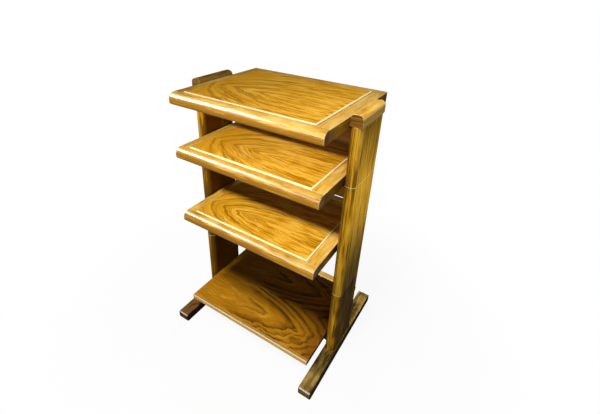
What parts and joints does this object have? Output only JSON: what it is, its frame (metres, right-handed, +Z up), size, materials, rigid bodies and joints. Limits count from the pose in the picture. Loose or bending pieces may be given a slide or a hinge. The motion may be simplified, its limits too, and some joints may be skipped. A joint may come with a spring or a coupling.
{
  "type": "photo album stand",
  "caption": "Free-standing wooden stand: stacked round-edged posts on runner feet carry framed, bullnosed shelves and a plain bottom board for albums.",
  "frame": {"origin": "on the floor, midway between the two posts and midway between the ends of the feet", "axes": "+Z up, -Y towards the front (the nosing side of the shelves), +X to the right when facing the front"},
  "size_m": [0.552, 0.47, 0.852],
  "materials": {
    "teak_post": "satin lacquered teak, upright grain",
    "teak_cap": "satin lacquered teak, grain front to back",
    "teak_foot": "satin lacquered darker teak, grain front to back",
    "teak_frame": "gloss lacquered solid teak, grain along each piece",
    "teak_panel": "gloss lacquered teak with a cathedral figure",
    "teak_veneer": "satin lacquered teak veneer with a bold dark figure",
    "pale_lipping": "satin lacquered paler solid wood",
    "teak_rail": "satin oiled teak",
    "beech_dowel": "bare beech",
    "bright_steel": "bright steel bar",
    "zinc_steel": "zinc plated steel"
  },
  "bodies": {
    "root": {"foot_left": "teak_foot", "foot_right": "teak_foot", "lower_post_left": "teak_post", "lower_post_right": "teak_post", "middle_post_left": "teak_post", "middle_post_right": "teak_post", "upper_post_left": "teak_post", "upper_post_right": "teak_post", "cap_left": "teak_cap", "cap_right": "teak_cap", "tie_rod_left": "bright_steel", "tie_rod_right": "bright_steel", "tie_rod_nuts": "zinc_steel", "tie_rod_washers": "zinc_steel", "post_dowels_left": "beech_dowel", "post_dowels_right": "beech_dowel", "top_rail_front": "teak_rail", "top_rail_back": "teak_rail", "second_rail_front": "teak_rail", "second_rail_back": "teak_rail", "lower_stretcher_front": "teak_rail", "lower_stretcher_back": "teak_rail", "top_shelf_nosing": "teak_frame", "top_shelf_left_rail": "teak_frame", "top_shelf_right_rail": "teak_frame", "top_shelf_back_rail": "teak_frame", "top_shelf_panel": "teak_panel", "top_shelf_screws": "zinc_steel", "second_shelf_nosing": "teak_frame", "second_shelf_left_rail": "teak_frame", "second_shelf_right_rail": "teak_frame", "second_shelf_back_rail": "teak_frame", "second_shelf_panel": "teak_panel", "second_shelf_screws": "zinc_steel", "third_shelf_nosing": "teak_frame", "third_shelf_left_rail": "teak_frame", "third_shelf_right_rail": "teak_frame", "third_shelf_back_rail": "teak_frame", "third_shelf_panel": "teak_panel", "third_shelf_pins": "bright_steel", "bottom_shelf_board": "teak_veneer", "bottom_shelf_lipping": "pale_lipping", "bottom_shelf_back_rail": "teak_frame", "bottom_shelf_screws": "zinc_steel"}
  },
  "joints": []
}
